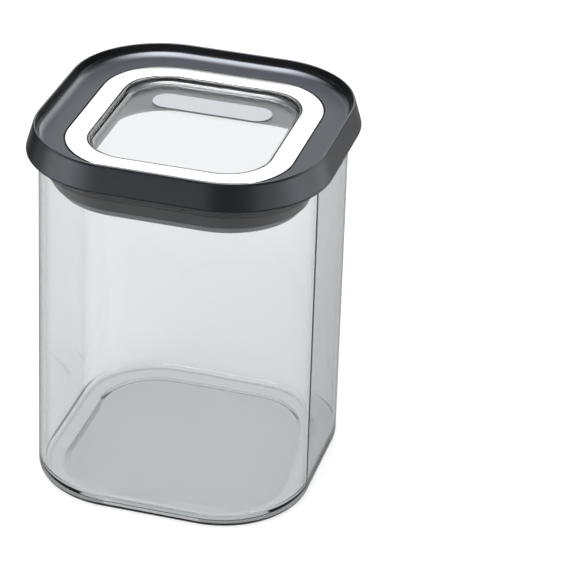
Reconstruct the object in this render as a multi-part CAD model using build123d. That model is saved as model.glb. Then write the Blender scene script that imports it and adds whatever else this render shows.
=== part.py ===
from build123d import *
import math
import os

# A square glass storage jar and the lid that plugs its mouth. Millimetres, +Z up,
# the origin at the middle of the underside. X runs along the front, +Y to the back.

# Glass jar: a square tube with round corners and a closed bottom, a little wider there
jar_width = 105.0
jar_height = 136.2
jar_corner = 34.0
jar_draft = 0.35
jar_wall = 2.3
jar_floor = 3.6
jar_heel_round = 3.5
jar_floor_round = 2.8
jar_lip_chamfer = 0.6
foot_width = 6.0
foot_hollow = 0.7
foot_slope = 75.0

# Lid cover: a flared skirt over the jar's lip, a thin raised rim, a deck set inside it
lid_flare = 13.5
skirt_drop = 2.8
skirt_wall = 3.1
skirt_edge_round = 1.0
deck_thickness = 2.2
rim_height = 5.3
rim_thickness = 1.2
rim_edge_round = 0.35
rim_mouth_chamfer = 0.25
stacking_clearance = 0.3
recess_draft = 3.0
recess_round = 1.6

# Steel ring round the window, glued into the deck
border_side = 18.35
border_front = 16.1
opening_corner = 17.2
ring_band = 7.65
ring_thickness = 0.6
ring_edge_chamfer = 0.12
ring_proud = 0.1
ring_gap = 0.35
bond_thickness = 0.3
bond_inset = 0.8
bead_width = 0.35
bead_drop = 0.1

# Clear tray that closes the window, hung by its flange under the steel ring
tray_lip = 0.7
tray_lip_drop = 0.15
tray_wall = 1.75
tray_depth = 3.05
tray_floor = 1.8
tray_draft = 8.0
tray_floor_round = 2.1
tray_underside_chamfer = 0.8
flange_width = 3.5
flange_thickness = 1.5
tray_clearance = 0.25
ledge_thickness = 2.2
collar_wall = 0.6

# Writing strip on the floor of the tray
label_length = 46.0
label_width = 12.2
label_corner = 5.9
label_thickness = 0.3
label_to_back = 16.2

# Plug frame under the cover, with the groove for the seal
plug_depth = 16.6
plug_clearance = 1.1
plug_flange_inset = 1.2
plug_corner_ease = 1.4
plug_wall_grow = 2.15
plug_wall = 1.8
plug_core_lift = 3.8
plug_inside_draft = 5.0
plug_inside_chamfer = 3.4
plug_nose_inset = 1.65
plug_nose_angle = 35.0
plug_nose_chamfer = 0.8
collar_clearance = 0.3
groove_depth = 4.6
groove_floor_height = 3.2

# Silicone seal: a tapered skirt below, a thin lip above, a notch between them
seal_height = 6.6
seal_lip_gap = 0.3
seal_lip_thickness = 0.5
seal_notch_height = 0.6
seal_notch_depth = 2.0
seal_foot_proud = 0.3
seal_fit_gap = 0.2


def spread(height, draft):
    """How far a wall with this draft leans over a height."""
    return height * math.tan(math.radians(draft))


# Heights of the faces where the pieces meet
skirt_bottom = jar_height - skirt_drop
deck_top = jar_height + deck_thickness
rim_top = deck_top + rim_height
ring_top = deck_top + ring_proud
ring_bottom = ring_top - ring_thickness
pocket_floor = ring_bottom - bond_thickness
ledge_top = pocket_floor - flange_thickness
ledge_bottom = ledge_top - ledge_thickness
lip_top = ring_top - tray_lip_drop
tray_inside = lip_top - tray_depth
tray_underside = tray_inside - tray_floor
plug_bottom = jar_height - plug_depth
groove_bottom = plug_bottom + groove_floor_height
groove_top = groove_bottom + seal_height
core_floor = plug_bottom + plug_core_lift

# How far the walls of the lid stand outside the outlines that they follow
rim_grow = stacking_clearance + rim_thickness
skirt_grow = rim_grow + spread(rim_top - skirt_bottom, lid_flare)
tray_mouth_grow = -bead_width - tray_lip
tray_outer_grow = tray_mouth_grow + tray_wall
flange_grow = tray_outer_grow + flange_width
collar_grow = ring_band + ring_gap + collar_wall

# The steel ring's opening, a border's width inside the jar's outer faces
opening_width = jar_width - 2 * border_side
opening_depth = jar_width - 2 * border_front


def base_outline(grow, z):
    """The outline of the jar's base at height z, grown outwards on every side."""
    width = jar_width + 2 * grow
    return Plane.XY.offset(z) * RectangleRounded(width, width, jar_corner + grow)


def jar_outline(grow, z):
    """The jar's outer outline where its walls reach height z."""
    return base_outline(grow - spread(z, jar_draft), z)


def mouth_outline(grow, z):
    """The outline of the jar's bore at its lip, placed at height z."""
    return base_outline(grow - jar_wall - spread(jar_height, jar_draft), z)


def plug_outline(inset, z):
    """The plug's outline at height z, with corners eased to stay clear of the glass."""
    width = jar_width - 2 * (jar_wall + spread(jar_height, jar_draft) + plug_clearance + inset)
    corner = jar_corner - (jar_width - width) / 2 + plug_corner_ease
    return Plane.XY.offset(z) * RectangleRounded(width, width, corner)


def window_outline(grow, z):
    """The steel ring's opening at height z, grown outwards on every side."""
    width = opening_width + 2 * grow
    depth = opening_depth + 2 * grow
    return Plane.XY.offset(z) * RectangleRounded(width, depth, opening_corner + grow)


def prism(outline, top, draft=0.0):
    """A solid from an outline up to the height top, drawn in by draft degrees."""
    return extrude(outline, amount=top - outline.center().Z, taper=draft)


def level_edges(solid, z):
    """The edges of a solid that lie level at height z."""
    return solid.edges().filter_by_position(Axis.Z, z - 0.001, z + 0.001)


def glass_jar():
    """Block with a round heel, less its hollow and the shallow hollow under the base."""
    outside = prism(jar_outline(0, 0), jar_height, draft=jar_draft)
    outside = fillet(level_edges(outside, 0), jar_heel_round)
    inside = prism(jar_outline(-jar_wall, jar_floor), jar_height, draft=jar_draft)
    inside = fillet(level_edges(inside, jar_floor), jar_floor_round)
    jar = outside - inside
    jar = chamfer(level_edges(jar, jar_height), jar_lip_chamfer)
    foot_inside = jar_heel_round + foot_width
    return jar - prism(jar_outline(-foot_inside, 0), foot_hollow, draft=foot_slope)


def lid_cover():
    """Skirt, rim and deck in one moulding, with the collar that holds the tray."""
    cover = prism(base_outline(skirt_grow, skirt_bottom), rim_top, draft=lid_flare)
    cavity = base_outline(skirt_grow - skirt_wall, skirt_bottom)
    cover -= prism(cavity, jar_height, draft=lid_flare)

    # The recess takes the base of another jar, so its mouth follows the base's outline
    recess_grow = stacking_clearance - spread(rim_height, recess_draft)
    recess = prism(base_outline(recess_grow, deck_top), rim_top, draft=-recess_draft)
    cover -= fillet(level_edges(recess, deck_top), recess_round)
    crest = cover.faces().sort_by(Axis.Z)[-1]
    cover = fillet(crest.outer_wire().edges(), rim_edge_round)
    crest = cover.faces().sort_by(Axis.Z)[-1]
    cover = chamfer(crest.inner_wires()[0].edges(), rim_mouth_chamfer)
    hem = cover.faces().sort_by(Axis.Z)[0]
    cover = fillet(hem.outer_wire().edges(), skirt_edge_round)

    # The collar below the deck, stepped for the ring, the flange and the tray's wall
    cover += prism(window_outline(collar_grow, ledge_bottom), jar_height)
    cover -= prism(window_outline(ring_band + ring_gap, pocket_floor), deck_top)
    cover -= prism(window_outline(flange_grow + tray_clearance, ledge_top), deck_top)
    cover -= prism(window_outline(tray_outer_grow + tray_clearance, ledge_bottom), deck_top)
    return cover


def steel_ring():
    """Flat polished ring with its two upper edges eased."""
    ring = prism(window_outline(ring_band, ring_bottom), ring_top)
    ring -= prism(window_outline(0, ring_bottom), ring_top)
    return chamfer(level_edges(ring, ring_top), ring_edge_chamfer)


def ring_bond():
    """Black adhesive: a thin bed under the ring, and the bead inside the ring's edge."""
    bond = prism(window_outline(ring_band - bond_inset, pocket_floor), ring_bottom)
    bond += prism(window_outline(0, pocket_floor), ring_top - bead_drop)
    return bond - prism(window_outline(-bead_width, pocket_floor), ring_top)


def window_tray():
    """Clear tray with leaning walls, a flange, and a lip that stands inside the ring."""
    wall_height = pocket_floor - tray_underside
    foot_grow = tray_outer_grow - spread(wall_height, tray_draft)
    tray = prism(window_outline(foot_grow, tray_underside), pocket_floor, draft=-tray_draft)
    tray = chamfer(level_edges(tray, tray_underside), tray_underside_chamfer)
    tray += prism(window_outline(flange_grow, ledge_top), pocket_floor)
    tray += prism(window_outline(-bead_width, pocket_floor), lip_top)
    floor_grow = tray_mouth_grow - spread(tray_depth, tray_draft)
    inside = prism(window_outline(floor_grow, tray_inside), lip_top, draft=-tray_draft)
    return tray - fillet(level_edges(inside, tray_inside), tray_floor_round)


def label_strip():
    """Thin writing strip with round ends, towards the back of the tray's floor."""
    middle = opening_depth / 2 - label_to_back
    outline = Pos(0, middle) * RectangleRounded(label_length, label_width, label_corner)
    return prism(Plane.XY.offset(tray_inside) * outline, tray_inside + label_thickness)


def plug_frame():
    """Ring that fills the mouth: upper flange, groove, tapered nose, cored from above."""
    frame = prism(plug_outline(plug_flange_inset, groove_top), jar_height)
    frame += prism(plug_outline(groove_depth, groove_bottom), groove_top)
    nose_inset = plug_nose_inset + spread(groove_floor_height, plug_nose_angle)
    nose = prism(plug_outline(nose_inset, plug_bottom), groove_bottom, draft=-plug_nose_angle)
    frame += chamfer(level_edges(nose, plug_bottom), plug_nose_chamfer)
    frame -= prism(window_outline(collar_grow + collar_clearance, ledge_bottom), jar_height)
    inside = window_outline(plug_wall_grow, plug_bottom)
    frame -= prism(inside, ledge_bottom, draft=plug_inside_draft)
    nose_face = frame.faces().sort_by(Axis.Z)[0]
    frame = chamfer(nose_face.inner_wires()[0].edges(), plug_inside_chamfer)
    core = prism(plug_outline(groove_depth + plug_wall, core_floor), ledge_bottom)
    core -= prism(window_outline(plug_wall_grow + plug_wall, core_floor), ledge_bottom)
    return frame - core


def seal_ring():
    """Silicone ring: its skirt leans out to the glass, with a notch and a lip above."""
    lip_bottom = groove_top - seal_lip_thickness
    notch_bottom = lip_bottom - seal_notch_height
    foot = plug_outline(plug_nose_inset - seal_foot_proud, groove_bottom)
    seal = loft([foot, mouth_outline(-seal_lip_gap, notch_bottom)], ruled=True)
    seal += prism(mouth_outline(-seal_lip_gap - seal_notch_depth, notch_bottom), groove_top)
    seal += prism(mouth_outline(-seal_lip_gap, lip_bottom), groove_top)
    return seal - prism(plug_outline(groove_depth - seal_fit_gap, groove_bottom), groove_top)


pieces = {
    "glass_jar": glass_jar,
    "lid_cover": lid_cover,
    "plug_frame": plug_frame,
    "seal_ring": seal_ring,
    "steel_ring": steel_ring,
    "ring_bond": ring_bond,
    "window_tray": window_tray,
    "label_strip": label_strip,
}

os.makedirs("parts", exist_ok=True)
for name, make in pieces.items():
    export_step(make(), f"parts/{name}.step")
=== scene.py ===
import math

import bmesh
import bpy
from mathutils import Matrix, Vector


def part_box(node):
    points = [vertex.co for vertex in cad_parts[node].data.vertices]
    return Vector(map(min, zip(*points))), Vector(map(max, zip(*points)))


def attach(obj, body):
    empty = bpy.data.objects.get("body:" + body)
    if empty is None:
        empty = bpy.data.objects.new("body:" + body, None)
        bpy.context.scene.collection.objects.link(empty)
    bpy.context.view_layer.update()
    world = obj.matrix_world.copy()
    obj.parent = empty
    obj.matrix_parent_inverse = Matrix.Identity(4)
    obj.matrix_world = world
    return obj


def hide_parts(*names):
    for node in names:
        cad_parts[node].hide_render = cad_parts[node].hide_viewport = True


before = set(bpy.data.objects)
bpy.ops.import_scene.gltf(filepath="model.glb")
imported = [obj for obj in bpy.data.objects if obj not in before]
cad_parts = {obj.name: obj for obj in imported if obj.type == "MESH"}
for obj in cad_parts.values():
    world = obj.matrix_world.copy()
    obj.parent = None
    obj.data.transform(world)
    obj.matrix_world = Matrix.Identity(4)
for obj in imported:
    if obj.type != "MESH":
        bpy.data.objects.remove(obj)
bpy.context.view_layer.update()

# Camera
# A long lens on a stand, a metre away, a little to the right and well above the lid.
# It leans slightly to one side, and it aims past the jar, which stands left of centre.
camera_azimuth = 0.25342
camera_elevation = 0.51024
camera_lean = 0.04053
camera_distance = 1.02071
camera_aim = Vector((0.03569, 0.0, 0.07771))
focal_pixels = 2758.3
picture_pixels = 570
sensor_width = 36.0
sight_limit = 100.0

toward_camera = Vector((
    math.sin(camera_azimuth) * math.cos(camera_elevation),
    -math.cos(camera_azimuth) * math.cos(camera_elevation),
    math.sin(camera_elevation),
))
level_right = Vector((math.cos(camera_azimuth), math.sin(camera_azimuth), 0.0))
level_up = toward_camera.cross(level_right)
lean_cos = math.cos(camera_lean)
lean_sin = math.sin(camera_lean)
leaning_right = lean_cos * level_right + lean_sin * level_up
leaning_up = lean_cos * level_up - lean_sin * level_right
stand = Matrix((leaning_right, leaning_up, toward_camera)).transposed().to_4x4()
stand.translation = camera_aim + toward_camera * camera_distance

bpy.ops.object.camera_add()
camera = bpy.context.object
camera.name = "camera"
camera.matrix_world = stand
camera.data.sensor_width = sensor_width
camera.data.lens = sensor_width * focal_pixels / picture_pixels
camera.data.clip_end = sight_limit
bpy.context.scene.camera = camera
bpy.context.scene.view_settings.view_transform = "Standard"

# Studio
# What gloss and steel mirror is a room of its own: panels stand round the jar, a wide
# canopy light hangs over the front from about 27 degrees up, and a pale wall and a
# window stand behind. Lamps and a soft fill light the object itself.
panel_tones = (
    (0.0, 0.03), (0.18, 0.02), (0.24, 0.14), (0.30, 0.65), (0.35, 0.92), (0.45, 0.39),
    (0.52, 0.11), (0.57, 0.13), (0.67, 0.50), (0.75, 0.80), (0.83, 0.53), (0.93, 0.10),
    (1.0, 0.03),
)
panel_strength = 3.8
panel_tops = (0.07, 0.17)
room_dark = 0.08
back_wall_axis = (0.0, 0.97, 0.24)
back_wall_edge = (0.35, 0.75)
back_wall_tone = 1.3
canopy_axis = (0.1, -0.75, 0.65)
canopy_spread = (-0.1, 0.95)
canopy_falloff = 3.0
canopy_lower_edge = (0.44, 0.52)
canopy_strength = 22.0
pane_axis = (0.24, 0.87, 0.43)
pane_edge = (0.93, 0.99)
pane_strength = 2.6
room_fill = 0.7
room_through_glass = 0.86
backdrop_tone = 1.0
floor_size = 12.0
floor_roughness = 0.9
floor_bounce = 0.8
floor_seen = 0.45
floor_glow = 0.66
floor_glow_through_glass = 0.47
floor_mirrored_near = 0.28
floor_near_to_far = (0.2, 0.6)
lamp_aim = Vector((0, 0, 0.13))


def ramp(nodes, span, ends=(0.0, 1.0), soft=False):
    """A Map Range node that takes a span of values to two ends, straight or softly."""
    node = nodes.new("ShaderNodeMapRange")
    if soft:
        node.interpolation_type = "SMOOTHSTEP"
    node.inputs["From Min"].default_value = span[0]
    node.inputs["From Max"].default_value = span[1]
    node.inputs["To Min"].default_value = ends[0]
    node.inputs["To Max"].default_value = ends[1]
    return node


def calculation(nodes, operation, number=0.0):
    """A Math node, with a number for its second input if nothing is wired to it."""
    node = nodes.new("ShaderNodeMath")
    node.operation = operation
    node.inputs[1].default_value = number
    return node


def blend(nodes, first=None, second=None, colours=False):
    """A Mix node between two numbers or colours. What is None gets a wire later."""
    node = nodes.new("ShaderNodeMix")
    if colours:
        node.data_type = "RGBA"
    if first is not None:
        node.inputs["A"].default_value = first
    if second is not None:
        node.inputs["B"].default_value = second
    return node


def nearness(nodes, axis):
    """A node that says how near a direction is to an axis."""
    node = nodes.new("ShaderNodeVectorMath")
    node.operation = "DOT_PRODUCT"
    node.inputs[1].default_value = axis
    return node


# The panels' tone by the direction round the room, for the world and for the floor
panels = bpy.data.node_groups.new("standing_panels", "ShaderNodeTree")
panels.interface.new_socket("Vector", in_out="INPUT", socket_type="NodeSocketVector")
panels.interface.new_socket("Tone", in_out="OUTPUT", socket_type="NodeSocketFloat")
given = panels.nodes.new("NodeGroupInput")
result = panels.nodes.new("NodeGroupOutput")
direction = panels.nodes.new("ShaderNodeSeparateXYZ")
frontward = calculation(panels.nodes, "MULTIPLY", -1.0)
turn = calculation(panels.nodes, "ARCTAN2")
round_the_room = ramp(panels.nodes, (-math.pi, math.pi))
tones = panels.nodes.new("ShaderNodeValToRGB")
tones.color_ramp.interpolation = "EASE"
stops = tones.color_ramp.elements
stops[0].position = panel_tones[0][0]
stops[1].position = panel_tones[-1][0]
for share, tone in panel_tones[1:-1]:
    stops.new(share)
for stop, (share, tone) in zip(stops, panel_tones):
    stop.color = (tone, tone, tone, 1)
strength = calculation(panels.nodes, "MULTIPLY", panel_strength)
wire = panels.links.new
wire(given.outputs["Vector"], direction.inputs["Vector"])
wire(direction.outputs["Y"], frontward.inputs[0])
wire(direction.outputs["X"], turn.inputs[0])
wire(frontward.outputs["Value"], turn.inputs[1])
wire(turn.outputs["Value"], round_the_room.inputs["Value"])
wire(round_the_room.outputs["Result"], tones.inputs["Fac"])
wire(tones.outputs["Color"], strength.inputs[0])
wire(strength.outputs["Value"], result.inputs["Tone"])

# The room itself. Gloss mirrors all its lights, matt faces get an even fill, and the
# camera sees plain white.
world = bpy.data.worlds.new("white_room")
world.use_nodes = True
bpy.context.scene.world = world
room = world.node_tree.nodes
toward = room.new("ShaderNodeTexCoord")
heading = room.new("ShaderNodeSeparateXYZ")
standing = room.new("ShaderNodeGroup")
standing.node_tree = panels
above_panels = ramp(room, panel_tops, soft=True)
to_back_wall = nearness(room, back_wall_axis)
back_wall = ramp(room, back_wall_edge, (room_dark, back_wall_tone))
to_pane = nearness(room, pane_axis)
pane = ramp(room, pane_edge, (0.0, pane_strength), soft=True)
with_pane = calculation(room, "ADD")
to_canopy = nearness(room, canopy_axis)
canopy_near = ramp(room, canopy_spread)
canopy_fading = calculation(room, "POWER", canopy_falloff)
canopy_edge = ramp(room, canopy_lower_edge, (0.0, canopy_strength), soft=True)
canopy = calculation(room, "MULTIPLY")
with_canopy = calculation(room, "ADD")
upper = blend(room)
path = room.new("ShaderNodeLightPath")
mirrored = blend(room, first=room_fill)
behind_glass = blend(room, second=room_through_glass)
open_view = blend(room, second=backdrop_tone)
wire = world.node_tree.links.new
wire(toward.outputs["Generated"], heading.inputs["Vector"])
wire(toward.outputs["Generated"], standing.inputs["Vector"])
wire(heading.outputs["Z"], above_panels.inputs["Value"])
wire(toward.outputs["Generated"], to_back_wall.inputs[0])
wire(to_back_wall.outputs["Value"], back_wall.inputs["Value"])
wire(toward.outputs["Generated"], to_pane.inputs[0])
wire(to_pane.outputs["Value"], pane.inputs["Value"])
wire(back_wall.outputs["Result"], with_pane.inputs[0])
wire(pane.outputs["Result"], with_pane.inputs[1])
wire(toward.outputs["Generated"], to_canopy.inputs[0])
wire(to_canopy.outputs["Value"], canopy_near.inputs["Value"])
wire(canopy_near.outputs["Result"], canopy_fading.inputs[0])
wire(heading.outputs["Z"], canopy_edge.inputs["Value"])
wire(canopy_fading.outputs["Value"], canopy.inputs[0])
wire(canopy_edge.outputs["Result"], canopy.inputs[1])
wire(with_pane.outputs["Value"], with_canopy.inputs[0])
wire(canopy.outputs["Value"], with_canopy.inputs[1])
wire(above_panels.outputs["Result"], upper.inputs["Factor"])
wire(standing.outputs["Tone"], upper.inputs["A"])
wire(with_canopy.outputs["Value"], upper.inputs["B"])
wire(path.outputs["Is Glossy Ray"], mirrored.inputs["Factor"])
wire(upper.outputs["Result"], mirrored.inputs["B"])
wire(path.outputs["Is Transmission Ray"], behind_glass.inputs["Factor"])
wire(mirrored.outputs["Result"], behind_glass.inputs["A"])
wire(path.outputs["Is Camera Ray"], open_view.inputs["Factor"])
wire(behind_glass.outputs["Result"], open_view.inputs["A"])
wire(open_view.outputs["Result"], room["Background"].inputs["Strength"])
room["Background"].inputs["Color"].default_value = (1, 1, 1, 1)

# The floor is a white sheet. Gloss mirrors a dim spot near the jar, and the foot of the
# panels farther off.
bpy.ops.mesh.primitive_plane_add(size=floor_size)
floor = bpy.context.object
floor.name = "floor"
floor_sheet = bpy.data.materials.new("floor_sheet")
floor_sheet.use_nodes = True
sheet = floor_sheet.node_tree.nodes
matt = sheet["Principled BSDF"]
matt.inputs["Roughness"].default_value = floor_roughness
matt.inputs["Specular IOR Level"].default_value = 0.0
matt.inputs["Emission Color"].default_value = (1, 1, 1, 1)
floor_point = sheet.new("ShaderNodeTexCoord")
floor_panels = sheet.new("ShaderNodeGroup")
floor_panels.node_tree = panels
floor_path = sheet.new("ShaderNodeLightPath")
unlit = blend(sheet, floor_bounce, 0.0)
straight = calculation(sheet, "MAXIMUM")
paper = blend(sheet, second=floor_seen)
away = sheet.new("ShaderNodeVectorMath")
away.operation = "LENGTH"
far_off = ramp(sheet, floor_near_to_far, soft=True)
by_distance = blend(sheet, first=floor_mirrored_near)
glow_mirrored = calculation(sheet, "MULTIPLY")
glow_through = blend(sheet, second=floor_glow_through_glass)
glow = blend(sheet, second=floor_glow)
wire = floor_sheet.node_tree.links.new
wire(floor_path.outputs["Is Camera Ray"], straight.inputs[0])
wire(floor_path.outputs["Is Transmission Ray"], straight.inputs[1])
wire(floor_path.outputs["Is Glossy Ray"], unlit.inputs["Factor"])
wire(straight.outputs["Value"], paper.inputs["Factor"])
wire(unlit.outputs["Result"], paper.inputs["A"])
wire(paper.outputs["Result"], matt.inputs["Base Color"])
wire(floor_point.outputs["Object"], floor_panels.inputs["Vector"])
wire(floor_point.outputs["Object"], away.inputs[0])
wire(away.outputs["Value"], far_off.inputs["Value"])
wire(far_off.outputs["Result"], by_distance.inputs["Factor"])
wire(floor_panels.outputs["Tone"], by_distance.inputs["B"])
wire(floor_path.outputs["Is Glossy Ray"], glow_mirrored.inputs[0])
wire(by_distance.outputs["Result"], glow_mirrored.inputs[1])
wire(glow_mirrored.outputs["Value"], glow_through.inputs["A"])
wire(floor_path.outputs["Is Transmission Ray"], glow_through.inputs["Factor"])
wire(glow_through.outputs["Result"], glow.inputs["A"])
wire(floor_path.outputs["Is Camera Ray"], glow.inputs["Factor"])
wire(glow.outputs["Result"], matt.inputs["Emission Strength"])
floor.data.materials.append(floor_sheet)


def hang_lamp(name, location, width, height, watts):
    """Hangs a soft rectangular lamp that points at the lid and that gloss doesn't mirror."""
    bpy.ops.object.light_add(type="AREA", location=location)
    lamp = bpy.context.object
    lamp.name = name
    lamp.data.shape = "RECTANGLE"
    lamp.data.size = width
    lamp.data.size_y = height
    lamp.data.energy = watts
    lamp.rotation_euler = (lamp_aim - Vector(location)).to_track_quat("-Z", "Y").to_euler()
    lamp.visible_glossy = False


hang_lamp("lamp_above", (-0.3, 0.3, 1.7), 1.4, 1.2, 9)
hang_lamp("lamp_front", (-0.2, -0.8, 1.0), 0.7, 0.4, 5)
hang_lamp("lamp_right", (1.1, -0.1, 0.4), 0.5, 0.5, 2)

# Glass jar
# A square jar with round corners, pressed in clear borosilicate with an even wall.
# The base is thicker, with a round heel, a foot band and a shallow hollow inside it.
# The walls lean in a little towards the mouth, whose lip is fire-polished round.
base_outline = (0.0525, 0.0525, 0.034)
jar_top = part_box("glass_jar")[1].z
jar_draft = 0.35
wall = 0.0023
floor_thick = 0.0036
heel_round = 0.0035
floor_round = 0.0028
lip_round = 0.0008
foot_band = 0.006
foot_round = 0.0003
foot_hollow = 0.0007
hollow_slope = 0.0026
hollow_round = 0.0004
corner_steps = 28
rounding_steps = 5
merge_distance = 0.000001


def spread(height, draft):
    """How far a wall with this draft, in degrees, leans over a height."""
    return height * math.tan(math.radians(draft))


def loft(name, stations, closed_ring):
    """Extrudes a rounded outline through stations: (outline, growth, height, rounding).

    A closed ring joins the last station to the first, and any other piece is capped.
    """
    bpy.ops.object.select_all(action="DESELECT")
    bpy.ops.mesh.primitive_plane_add(size=2)
    piece = bpy.context.object
    piece.name = name
    widest = max(station[3] for station in stations)
    half_width, half_depth, corner, height = outline_sizes(stations[0])
    bpy.ops.object.mode_set(mode="EDIT")
    bpy.ops.transform.resize(value=(half_width, half_depth, 1))
    bpy.ops.transform.translate(value=(0, 0, height))
    bpy.ops.mesh.bevel(offset=corner, segments=corner_steps, affect="VERTICES", profile=0.5)
    bpy.ops.mesh.delete(type="ONLY_FACE")
    bpy.ops.mesh.select_mode(type="EDGE")
    bpy.ops.mesh.select_all(action="SELECT")
    bpy.ops.transform.edge_bevelweight(value=stations[0][3] / widest)

    route = stations[1:] + stations[:1] if closed_ring else stations[1:]
    for before, after in zip(stations, route):
        rise = after[2] - before[2]
        bpy.ops.mesh.extrude_edges_move(TRANSFORM_OT_translate={"value": (0, 0, rise)})
        bpy.ops.transform.edge_bevelweight(value=(after[3] - before[3]) / widest)
        reshape_corners(piece, before, after)
    bpy.ops.mesh.select_all(action="SELECT")
    if closed_ring:
        bpy.ops.mesh.remove_doubles(threshold=merge_distance)
    else:
        bpy.ops.mesh.select_all(action="DESELECT")
        bpy.ops.mesh.select_non_manifold()
        bpy.ops.mesh.edge_face_add()
        bpy.ops.mesh.select_all(action="SELECT")
    bpy.ops.mesh.normals_make_consistent(inside=False)
    bpy.ops.object.mode_set(mode="OBJECT")

    rounder = piece.modifiers.new("rounder", "BEVEL")
    rounder.limit_method = "WEIGHT"
    rounder.width = widest
    rounder.segments = rounding_steps
    rounder.use_clamp_overlap = False
    bpy.ops.object.modifier_apply(modifier=rounder.name)
    bpy.ops.object.shade_smooth()
    flat_first = piece.modifiers.new("flat_first", "WEIGHTED_NORMAL")
    bpy.ops.object.modifier_apply(modifier=flat_first.name)
    return piece


def outline_sizes(station):
    """The half width, half depth, corner and height of the outline at a station."""
    outline, grow, height = station[:3]
    return [size + grow for size in outline] + [height]


def reshape_corners(piece, before, after):
    """Moves and scales each corner of the outline just extruded about its own centre."""
    half_width, half_depth, corner, height = outline_sizes(before)
    new_half_width, new_half_depth, new_corner, new_height = outline_sizes(after)
    editing = bmesh.from_edit_mesh(piece.data)
    outline = [vertex for vertex in editing.verts if vertex.select]
    bpy.ops.mesh.select_mode(type="VERT")
    for side_x, side_y in ((1, 1), (-1, 1), (-1, -1), (1, -1)):
        for vertex in editing.verts:
            vertex.select_set(False)
        editing.select_flush(False)
        for vertex in outline:
            vertex.select_set(vertex.co.x * side_x > 0 and vertex.co.y * side_y > 0)
        shift_x = side_x * (new_half_width - new_corner - half_width + corner)
        shift_y = side_y * (new_half_depth - new_corner - half_depth + corner)
        centre_x = side_x * (new_half_width - new_corner)
        centre_y = side_y * (new_half_depth - new_corner)
        bpy.ops.transform.translate(value=(shift_x, shift_y, 0))
        bpy.ops.transform.resize(
            value=(new_corner / corner, new_corner / corner, 1),
            center_override=(centre_x, centre_y, new_height),
        )
    for vertex in outline:
        vertex.select_set(True)
    editing.select_flush(True)
    bpy.ops.mesh.select_mode(type="EDGE")


mouth_lean = spread(jar_top, jar_draft)
jar = loft(
    "jar",
    [
        (base_outline, -heel_round - foot_band - hollow_slope, foot_hollow, hollow_round),
        (base_outline, -heel_round - foot_band, 0.0, foot_round),
        (base_outline, 0.0, 0.0, heel_round),
        (base_outline, -mouth_lean, jar_top, lip_round),
        (base_outline, -mouth_lean - wall, jar_top, lip_round),
        (base_outline, -wall - spread(floor_thick, jar_draft), floor_thick, floor_round),
    ],
    closed_ring=False,
)
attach(jar, "jar")
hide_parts("glass_jar")

glass_colour = (0.985, 0.99, 0.992, 1)
# Painted shade: the glass is tinted darker where it is seen edge-on, standing in for the dark edges
# that refraction and dark reflections give
glass_painted_edge_shade = (0.58, 0.59, 0.61, 1)
glass_edges = (0.5, 1.0)
glass_depth_colour = (0.56, 0.60, 0.62, 1)
glass_depth_density = 72.0
upright_waves = (1, 1, 0.35)


def new_finish(name, colour, roughness):
    """Starts a material and returns it with its node tree and its shader."""
    finish = bpy.data.materials.new(name)
    finish.use_nodes = True
    shader = shader_of(finish)
    shader.inputs["Base Color"].default_value = colour
    shader.inputs["Roughness"].default_value = roughness
    return finish, finish.node_tree, shader


def shader_of(finish):
    """The shader of a material."""
    return finish.node_tree.nodes["Principled BSDF"]


def object_point(tree, scale=(1, 1, 1)):
    """The place on the piece, in metres, stretched by a scale."""
    place = tree.nodes.new("ShaderNodeTexCoord")
    stretch = tree.nodes.new("ShaderNodeMapping")
    stretch.inputs["Scale"].default_value = scale
    tree.links.new(place.outputs["Object"], stretch.inputs["Vector"])
    return stretch.outputs["Vector"]


def tint_by_depth(tree, colour, density):
    """Tints a clear material by how far light goes through it."""
    tint = tree.nodes.new("ShaderNodeVolumeAbsorption")
    tint.inputs["Color"].default_value = colour
    tint.inputs["Density"].default_value = density
    tree.links.new(tint.outputs["Volume"], tree.nodes["Material Output"].inputs["Volume"])


glass, tree, shader = new_finish("jar_glass", glass_colour, 0.0)
shader.inputs["Transmission Weight"].default_value = 1.0
shader.inputs["IOR"].default_value = 1.47
# Painted shade: the colour darkens where the glass is seen edge-on
grazing = tree.nodes.new("ShaderNodeLayerWeight")
at_edge = ramp(tree.nodes, glass_edges, soft=True)
edge_shade_tint = blend(tree.nodes, glass_colour, glass_painted_edge_shade, colours=True)
waves = tree.nodes.new("ShaderNodeTexNoise")
waves.inputs["Scale"].default_value = 14.0
waves.inputs["Detail"].default_value = 1.0
ripple = tree.nodes.new("ShaderNodeBump")
ripple.inputs["Strength"].default_value = 0.35
ripple.inputs["Distance"].default_value = 0.0006
wire = tree.links.new
wire(grazing.outputs["Facing"], at_edge.inputs["Value"])
wire(at_edge.outputs["Result"], edge_shade_tint.inputs["Factor"])
wire(edge_shade_tint.outputs["Result"], shader.inputs["Base Color"])
wire(object_point(tree, upright_waves), waves.inputs["Vector"])
wire(waves.outputs["Fac"], ripple.inputs["Height"])
wire(ripple.outputs["Normal"], shader.inputs["Normal"])
tint_by_depth(tree, glass_depth_colour, glass_depth_density)
jar.data.materials.append(glass)

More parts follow.
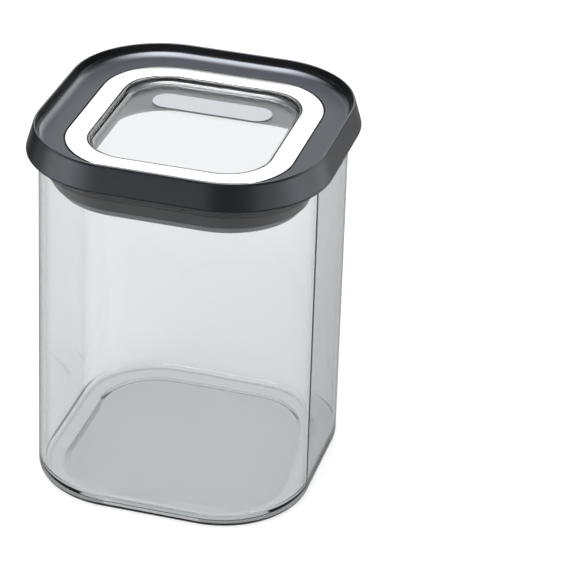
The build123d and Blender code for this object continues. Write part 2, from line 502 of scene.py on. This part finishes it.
# Plug frame
# The moulded ring that fills the jar's mouth below the lid cover, in satin charcoal plastic
# painted a paler grey, as painted light from the window. Its flange is welded to the cover,
# the seal sits in the groove round it, and the nose below the groove is tapered so that it
# finds the mouth by itself.
plug_low, plug_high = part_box("plug_frame")
seal_low, seal_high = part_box("seal_ring")
ring_low, ring_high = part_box("steel_ring")
ring_band = 0.00765
opening_corner = 0.0172
window_outline = (ring_high.x - ring_band, ring_high.y - ring_band, opening_corner)
flange_inset = 0.0012
plug_corner_ease = 0.0014
plug_half = plug_high.x + flange_inset
plug_corner = base_outline[2] + plug_corner_ease - base_outline[0] + plug_half
plug_outline = (plug_half, plug_half, plug_corner)
flange_round = 0.0003
groove_depth = 0.0046
groove_round = 0.0002
nose_inset = 0.00165
nose_slope = spread(seal_low.z - plug_low.z, 35)
nose_shoulder_round = 0.0003
nose_round = 0.0009
nose_inner_round = 0.0007
inside_grow = 0.00215
inside_ease = 0.0034
inside_ease_round = 0.0009
inside_draft = 5
ledge_z = 0.1339
pocket_grow = 0.0089
inside_ease_grow = inside_grow - spread(inside_ease, inside_draft)
inner_top_grow = inside_grow - spread(ledge_z - plug_low.z, inside_draft)
crisp = 0.0001

plug = loft(
    "plug",
    [
        (plug_outline, -flange_inset, plug_high.z, crisp),
        (plug_outline, -flange_inset, seal_high.z, flange_round),
        (plug_outline, -groove_depth, seal_high.z, groove_round),
        (plug_outline, -groove_depth, seal_low.z, groove_round),
        (plug_outline, -nose_inset, seal_low.z, nose_shoulder_round),
        (plug_outline, -nose_inset - nose_slope, plug_low.z, nose_round),
        (window_outline, inside_grow + inside_ease, plug_low.z, nose_inner_round),
        (window_outline, inside_ease_grow, plug_low.z + inside_ease, inside_ease_round),
        (window_outline, inner_top_grow, ledge_z, crisp),
        (window_outline, pocket_grow, ledge_z, crisp),
        (window_outline, pocket_grow, plug_high.z, crisp),
    ],
    closed_ring=True,
)
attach(plug, "lid")
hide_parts("plug_frame")

# The grain that a mould leaves: fine pits that speckle the colour, and cloudy gloss
pit_contrast = (0.3, 0.7)
cloud_contrast = (0.35, 0.65)
grain = bpy.data.node_groups.new("moulding_grain", "ShaderNodeTree")
grain.interface.new_socket("Vector", in_out="INPUT", socket_type="NodeSocketVector")
grain.interface.new_socket("Grain Scale", in_out="INPUT", socket_type="NodeSocketFloat")
grain.interface.new_socket("Dark", in_out="INPUT", socket_type="NodeSocketColor")
grain.interface.new_socket("Pale", in_out="INPUT", socket_type="NodeSocketColor")
grain.interface.new_socket("Low Roughness", in_out="INPUT", socket_type="NodeSocketFloat")
grain.interface.new_socket("High Roughness", in_out="INPUT", socket_type="NodeSocketFloat")
grain.interface.new_socket("Color", in_out="OUTPUT", socket_type="NodeSocketColor")
grain.interface.new_socket("Roughness", in_out="OUTPUT", socket_type="NodeSocketFloat")
grain.interface.new_socket("Height", in_out="OUTPUT", socket_type="NodeSocketFloat")
given = grain.nodes.new("NodeGroupInput")
result = grain.nodes.new("NodeGroupOutput")
pits = grain.nodes.new("ShaderNodeTexNoise")
pits.inputs["Detail"].default_value = 3.0
pits.inputs["Roughness"].default_value = 0.65
speckle = ramp(grain.nodes, pit_contrast)
shade = blend(grain.nodes, colours=True)
clouds = grain.nodes.new("ShaderNodeTexNoise")
clouds.inputs["Scale"].default_value = 60.0
clouds.inputs["Detail"].default_value = 4.0
polish = ramp(grain.nodes, cloud_contrast)
wire = grain.links.new
wire(given.outputs["Vector"], pits.inputs["Vector"])
wire(given.outputs["Grain Scale"], pits.inputs["Scale"])
wire(given.outputs["Vector"], clouds.inputs["Vector"])
wire(pits.outputs["Fac"], speckle.inputs["Value"])
wire(speckle.outputs["Result"], shade.inputs["Factor"])
wire(given.outputs["Dark"], shade.inputs["A"])
wire(given.outputs["Pale"], shade.inputs["B"])
wire(clouds.outputs["Fac"], polish.inputs["Value"])
wire(given.outputs["Low Roughness"], polish.inputs["To Min"])
wire(given.outputs["High Roughness"], polish.inputs["To Max"])
wire(shade.outputs["Result"], result.inputs["Color"])
wire(polish.outputs["Result"], result.inputs["Roughness"])
wire(pits.outputs["Fac"], result.inputs["Height"])


def grained_plastic(name, dark, pale, roughness, grain_scale, grain_depth):
    """A moulded plastic whose colour, gloss and surface follow the moulding grain."""
    finish, tree, shader = new_finish(name, dark, roughness[0])
    surface = tree.nodes.new("ShaderNodeGroup")
    surface.name = grain.name
    surface.node_tree = grain
    surface.inputs["Grain Scale"].default_value = grain_scale
    surface.inputs["Dark"].default_value = dark
    surface.inputs["Pale"].default_value = pale
    surface.inputs["Low Roughness"].default_value = roughness[0]
    surface.inputs["High Roughness"].default_value = roughness[1]
    raised = tree.nodes.new("ShaderNodeBump")
    raised.inputs["Strength"].default_value = 0.5
    raised.inputs["Distance"].default_value = grain_depth
    wire = tree.links.new
    wire(object_point(tree), surface.inputs["Vector"])
    wire(surface.outputs["Color"], shader.inputs["Base Color"])
    wire(surface.outputs["Roughness"], shader.inputs["Roughness"])
    wire(surface.outputs["Height"], raised.inputs["Height"])
    wire(raised.outputs["Normal"], shader.inputs["Normal"])
    return finish


# Painted light: the charcoal plug gets a pale grey, as if lit through the window
plug_painted_light_satin = grained_plastic(
    "plug_plastic",
    dark=(0.185, 0.190, 0.202, 1),
    pale=(0.215, 0.220, 0.233, 1),
    roughness=(0.38, 0.46),
    grain_scale=1400.0,
    grain_depth=0.00001,
)
plug.data.materials.append(plug_painted_light_satin)

# Seal ring
# One silicone ring stretched into the plug's groove, dark slate and satin. Its skirt
# leans out to the glass, and a thin lip stands above a narrow notch.
mouth_outline = tuple(size - wall - mouth_lean for size in base_outline)
lip_gap = 0.0003
lip_thick = 0.0005
lip_edge_round = 0.0002
notch_height = 0.0006
notch_depth = 0.002
notch_round = 0.00015
skirt_edge_round = 0.0003
foot_proud = 0.0003
foot_edge_round = 0.0004
groove_fit = 0.0002
seal_inner_round = 0.0002
foot_inset = nose_inset - foot_proud
seal_inside = groove_depth - groove_fit
lip_bottom = seal_high.z - lip_thick
notch_bottom = lip_bottom - notch_height

seal = loft(
    "seal",
    [
        (plug_outline, -foot_inset, seal_low.z, foot_edge_round),
        (mouth_outline, -lip_gap, notch_bottom, skirt_edge_round),
        (mouth_outline, -lip_gap - notch_depth, notch_bottom, notch_round),
        (mouth_outline, -lip_gap - notch_depth, lip_bottom, notch_round),
        (mouth_outline, -lip_gap, lip_bottom, lip_edge_round),
        (mouth_outline, -lip_gap, seal_high.z, lip_edge_round),
        (plug_outline, -seal_inside, seal_high.z, seal_inner_round),
        (plug_outline, -seal_inside, seal_low.z, seal_inner_round),
    ],
    closed_ring=True,
)
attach(seal, "lid")
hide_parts("seal_ring")
rubber = grained_plastic(
    "silicone",
    dark=(0.010, 0.0098, 0.0122, 1),
    pale=(0.0125, 0.0122, 0.0150, 1),
    roughness=(0.5, 0.6),
    grain_scale=900.0,
    grain_depth=0.000002,
)
shader_of(rubber).inputs["Sheen Weight"].default_value = 0.15
shader_of(rubber).inputs["Sheen Roughness"].default_value = 0.5
seal.data.materials.append(rubber)

# Lid cover
# The visible half of the lid, in charcoal plastic: glossy outside, dull on the deck. A
# A skirt flares out over the jar's lip, a narrow rim stands up for stacking, and the deck
# inside it carries the steel ring and, on a stepped collar below, the window. The collar is
# painted paler, as painted light from the window.
cover_low, cover_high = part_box("lid_cover")
skirt_low = cover_low.z
rim_top = cover_high.z
deck_z = 0.1384
rim_mouth_grow = 0.0003
rim_crest_grow = 0.0010
hem_overhang = 0.00032
skirt_grow = cover_high.x - base_outline[0] + hem_overhang
flare = (skirt_grow - rim_crest_grow) / (rim_top - skirt_low)
skirt_wall = 0.0031
skirt_inner_round = 0.0004
hem_round = 0.00133
crest_facet_height = 0.0009
crest_facet_lean = spread(crest_facet_height, 22)
crest_foot_grow = rim_crest_grow + crest_facet_height * flare
crest_round = 0.0002
recess_foot_round = 0.0033
recess_lean = spread(rim_top - deck_z, 3)
ring_pocket_grow = 0.0083
ring_pocket_z = 0.1376
ring_pocket_round = 0.00005
flange_pocket_grow = 0.00445
flange_pocket_z = 0.1361
ledge_grow = 0.00095
collar_grow = 0.0086
cavity_lean = (jar_top - skirt_low) * flare
cavity_round = 0.0002

cover = loft(
    "cover",
    [
        (base_outline, skirt_grow - skirt_wall, skirt_low, skirt_inner_round),
        (base_outline, skirt_grow, skirt_low, hem_round),
        (base_outline, crest_foot_grow, rim_top - crest_facet_height, crisp),
        (base_outline, crest_foot_grow - crest_facet_lean, rim_top, crest_round),
        (base_outline, rim_mouth_grow, rim_top, crest_round),
        (base_outline, rim_mouth_grow - recess_lean, deck_z, recess_foot_round),
        (window_outline, ring_pocket_grow, deck_z, ring_pocket_round),
        (window_outline, ring_pocket_grow, ring_pocket_z, crisp),
        (window_outline, flange_pocket_grow, ring_pocket_z, crisp),
        (window_outline, flange_pocket_grow, flange_pocket_z, crisp),
        (window_outline, ledge_grow, flange_pocket_z, crisp),
        (window_outline, ledge_grow, ledge_z, crisp),
        (window_outline, collar_grow, ledge_z, crisp),
        (window_outline, collar_grow, jar_top, crisp),
        (base_outline, skirt_grow - skirt_wall - cavity_lean, jar_top, cavity_round),
    ],
    closed_ring=True,
)
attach(cover, "lid")
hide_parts("lid_cover")
charcoal_dark = (0.0026, 0.0027, 0.0036, 1)
charcoal_pale = (0.0038, 0.0039, 0.0050, 1)
charcoal_grain_scale = 2200.0
charcoal_grain_depth = 0.000003
charcoal = grained_plastic(
    "charcoal_plastic",
    dark=charcoal_dark,
    pale=charcoal_pale,
    roughness=(0.19, 0.23),
    grain_scale=charcoal_grain_scale,
    grain_depth=charcoal_grain_depth,
)
recess_painted_shade = grained_plastic(
    "recess_wall_painted_shade",
    dark=charcoal_dark,
    pale=charcoal_pale,
    roughness=(0.3, 0.36),
    grain_scale=charcoal_grain_scale,
    grain_depth=charcoal_grain_depth,
)
# Painted shade: this copy of the charcoal reflects less, so the recess wall and the ring's gap look
# blackest
shader_of(recess_painted_shade).inputs["Specular IOR Level"].default_value = 0.10

# Faces that look up are matt and a little paler: there the mould has a fine grain, and the paler
# colour is also painted light from above, reaching onto the upper part of the recess foot
looks_up = (0.80, 0.99)
deck_grain_and_painted_light_colour = (0.063, 0.069, 0.079, 1)
deck_roughness = 0.38
outside_specular = 0.5
deck_specular = 0.15
cool_gloss = (0.85, 0.9, 1.0, 1)
tree = charcoal.node_tree
shader = shader_of(charcoal)
shader.inputs["Specular Tint"].default_value = cool_gloss
surface = tree.nodes[grain.name]
faced = tree.nodes.new("ShaderNodeTexCoord")
upright = tree.nodes.new("ShaderNodeSeparateXYZ")
level = ramp(tree.nodes, looks_up)
# Painted light, partly grain: faces that look up get a paler colour
grain_and_painted_light_mix = blend(tree.nodes, second=deck_grain_and_painted_light_colour, colours=True)
rougher = blend(tree.nodes, second=deck_roughness)
duller = blend(tree.nodes, outside_specular, deck_specular)
wire = tree.links.new
wire(faced.outputs["Normal"], upright.inputs["Vector"])
wire(upright.outputs["Z"], level.inputs["Value"])
wire(level.outputs["Result"], grain_and_painted_light_mix.inputs["Factor"])
wire(surface.outputs["Color"], grain_and_painted_light_mix.inputs["A"])
wire(grain_and_painted_light_mix.outputs["Result"], shader.inputs["Base Color"])
wire(level.outputs["Result"], rougher.inputs["Factor"])
wire(surface.outputs["Roughness"], rougher.inputs["A"])
wire(rougher.outputs["Result"], shader.inputs["Roughness"])
wire(level.outputs["Result"], duller.inputs["Factor"])
wire(duller.outputs["Result"], shader.inputs["Specular IOR Level"])

# Painted shade makes the recess wall and the gap round the ring the blackest, and the collar takes
# the plug's paler satin, a painted light
cover_finishes = [charcoal, plug_painted_light_satin, recess_painted_shade]
for finish in cover_finishes:
    cover.data.materials.append(finish)
ring_margin = 0.001
hair = 0.0001
slant = 0.3
for face in cover.data.polygons:
    middle = face.center
    by_ring = abs(middle.x) < ring_high.x + ring_margin and abs(middle.y) < ring_high.y + ring_margin
    looks_in = middle.x * face.normal.x + middle.y * face.normal.y < 0
    on_recess_wall = looks_in and abs(face.normal.z) < slant and deck_z < middle.z < rim_top
    if by_ring and middle.z < ring_pocket_z - hair:
        face.material_index = cover_finishes.index(plug_painted_light_satin)
    elif on_recess_wall or (by_ring and middle.z < deck_z - hair):
        face.material_index = cover_finishes.index(recess_painted_shade)

# Window tray
# A clear plastic tray that closes the window. Its flange hangs under the steel ring,
# its walls lean in, and a soft roll leads them into the flat floor.
tray_low, tray_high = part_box("window_tray")
label_low, label_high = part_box("label_strip")
bead_width = 0.0006
tray_lip = 0.00045
tray_lip_round = 0.0002
tray_mouth_grow = -bead_width - tray_lip
tray_outer_grow = 0.0007
tray_draft = 8
tray_floor_z = label_low.z
tray_floor_round = 0.0019
tray_underside_round = 0.0008
flange_grow = 0.0042
flange_edge_round = 0.0002
foot_grow = tray_outer_grow - spread(ring_pocket_z - tray_low.z, tray_draft)
under_flange_grow = tray_outer_grow - spread(ring_pocket_z - flange_pocket_z, tray_draft)
roll_grow = tray_mouth_grow - spread(tray_high.z - tray_floor_z, tray_draft)

tray = loft(
    "tray",
    [
        (window_outline, foot_grow, tray_low.z, tray_underside_round),
        (window_outline, under_flange_grow, flange_pocket_z, flange_edge_round),
        (window_outline, flange_grow, flange_pocket_z, flange_edge_round),
        (window_outline, flange_grow, ring_pocket_z, flange_edge_round),
        (window_outline, -bead_width, ring_pocket_z, crisp),
        (window_outline, -bead_width, tray_high.z, crisp),
        (window_outline, tray_mouth_grow, tray_high.z, tray_lip_round),
        (window_outline, roll_grow, tray_floor_z, tray_floor_round),
    ],
    closed_ring=False,
)
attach(tray, "lid")
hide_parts("window_tray")
handled_patches = (0.5, 0.8)
handled_roughness = (0.0, 0.02)
clear, tree, shader = new_finish("clear_plastic", (0.985, 0.99, 0.995, 1), 0.0)
shader.inputs["Transmission Weight"].default_value = 1.0
shader.inputs["IOR"].default_value = 1.49
haze = tree.nodes.new("ShaderNodeTexNoise")
haze.inputs["Scale"].default_value = 220.0
haze.inputs["Detail"].default_value = 5.0
gloss = ramp(tree.nodes, handled_patches, handled_roughness)
wire = tree.links.new
wire(object_point(tree), haze.inputs["Vector"])
wire(haze.outputs["Fac"], gloss.inputs["Value"])
wire(gloss.outputs["Result"], shader.inputs["Roughness"])
tint_by_depth(tree, (0.66, 0.70, 0.71, 1), 45.0)
tray.data.materials.append(clear)

# Steel ring
# A flat ring cut from polished stainless sheet, its edges broken by hand, bedded on
# adhesive in the pocket of the deck so that it stands a hair proud of the plastic.
ring_top_round = 0.00012
ring_under_round = 0.00005

ring = loft(
    "ring",
    [
        (window_outline, ring_band, ring_low.z, ring_under_round),
        (window_outline, ring_band, ring_high.z, ring_top_round),
        (window_outline, 0.0, ring_high.z, ring_top_round),
        (window_outline, 0.0, ring_low.z, ring_under_round),
    ],
    closed_ring=True,
)
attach(ring, "lid")
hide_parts("steel_ring")
along_the_rub = (1, 14, 1)
rub_contrast = (0.3, 0.75)
rub_roughness = (0.10, 0.18)
steel, tree, shader = new_finish("polished_steel", (0.95, 0.95, 0.945, 1), 0.1)
shader.inputs["Metallic"].default_value = 1.0
rub = tree.nodes.new("ShaderNodeTexNoise")
rub.inputs["Scale"].default_value = 90.0
rub.inputs["Detail"].default_value = 8.0
rub.inputs["Roughness"].default_value = 0.7
worn = ramp(tree.nodes, rub_contrast, rub_roughness)
lines = tree.nodes.new("ShaderNodeBump")
lines.inputs["Strength"].default_value = 0.03
lines.inputs["Distance"].default_value = 0.00002
wire = tree.links.new
wire(object_point(tree, along_the_rub), rub.inputs["Vector"])
wire(rub.outputs["Fac"], worn.inputs["Value"])
wire(worn.outputs["Result"], shader.inputs["Roughness"])
wire(rub.outputs["Fac"], lines.inputs["Height"])
wire(lines.outputs["Normal"], shader.inputs["Normal"])
ring.data.materials.append(steel)

# Ring bond
# Elastic adhesive. A thin pale bed holds the steel ring down on the pocket's floor and
# the tray's flange, and a bead with a black skin fills the gap up to the tray's lip.
bond_low, bond_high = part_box("ring_bond")
bed_outer_grow = bond_high.x - window_outline[0]
bed_round = 0.00005
bead_round = 0.00008

bond = loft(
    "bond",
    [
        (window_outline, bed_outer_grow, bond_low.z, bed_round),
        (window_outline, bed_outer_grow, ring_low.z, bed_round),
        (window_outline, 0.0, ring_low.z, bed_round),
        (window_outline, 0.0, bond_high.z, bead_round),
        (window_outline, -bead_width, bond_high.z, bead_round),
        (window_outline, -bead_width, bond_low.z, bed_round),
    ],
    closed_ring=True,
)
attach(bond, "lid")
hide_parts("ring_bond")
adhesive_roughness = (0.45, 0.6)
adhesive_grain_scale = 1800.0
bed = grained_plastic(
    "adhesive_bed",
    dark=(0.28, 0.29, 0.30, 1),
    pale=(0.34, 0.35, 0.36, 1),
    roughness=adhesive_roughness,
    grain_scale=adhesive_grain_scale,
    grain_depth=0.00001,
)
black = grained_plastic(
    "adhesive_bead",
    dark=(0.010, 0.010, 0.011, 1),
    pale=(0.016, 0.016, 0.018, 1),
    roughness=adhesive_roughness,
    grain_scale=adhesive_grain_scale,
    grain_depth=0.00003,
)
shader_of(black).inputs["Specular IOR Level"].default_value = 0.15
bond.data.materials.append(bed)
bond.data.materials.append(black)
for face in bond.data.polygons:
    on_bead = face.normal.z > slant and face.center.z > ring_low.z + hair
    face.material_index = 1 if on_bead else 0

# Writing strip
# A thin frosted film with round ends that takes ink, stuck to the tray's floor near the
# back. Its rim is a touch darker: painted shade for the shadow along the film's edge.
strip_middle = (label_low.y + label_high.y) / 2
strip_half_length = label_high.x
strip_half_width = (label_high.y - label_low.y) / 2
strip_thick = label_high.z - label_low.z
strip_end_round = 0.0059
strip_end_steps = 16
strip_shade_rim_width = 0.00025

bpy.ops.object.select_all(action="DESELECT")
bpy.ops.mesh.primitive_plane_add(size=2, location=(0, strip_middle, label_low.z))
strip = bpy.context.object
strip.name = "writing_strip"
bpy.ops.object.transform_apply()
bpy.ops.object.mode_set(mode="EDIT")
bpy.ops.transform.resize(value=(strip_half_length, strip_half_width, 1))
bpy.ops.mesh.bevel(
    offset=strip_end_round, segments=strip_end_steps, affect="VERTICES", profile=0.5
)
bpy.ops.mesh.extrude_region_move(TRANSFORM_OT_translate={"value": (0, 0, strip_thick)})
bpy.ops.mesh.inset(thickness=strip_shade_rim_width)
bpy.ops.object.mode_set(mode="OBJECT")
film_grain_scale = 2600.0
film_grain_depth = 0.00002
film = grained_plastic(
    "writing_film",
    dark=(0.445, 0.456, 0.482, 1),
    pale=(0.490, 0.502, 0.530, 1),
    roughness=(0.42, 0.55),
    grain_scale=film_grain_scale,
    grain_depth=film_grain_depth,
)
# Painted shade: the rim and sides of the strip get a darker finish
strip_rim_painted_shade = grained_plastic(
    "film_edge_painted_shade",
    dark=(0.10, 0.10, 0.12, 1),
    pale=(0.16, 0.16, 0.18, 1),
    roughness=(0.5, 0.6),
    grain_scale=film_grain_scale,
    grain_depth=film_grain_depth,
)
strip.data.materials.append(film)
strip.data.materials.append(strip_rim_painted_shade)
for face in strip.data.polygons:
    on_top = face.normal.z > slant and face.area > strip_half_width * strip_half_length
    face.material_index = 0 if on_top else 1
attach(strip, "lid")
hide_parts("label_strip")
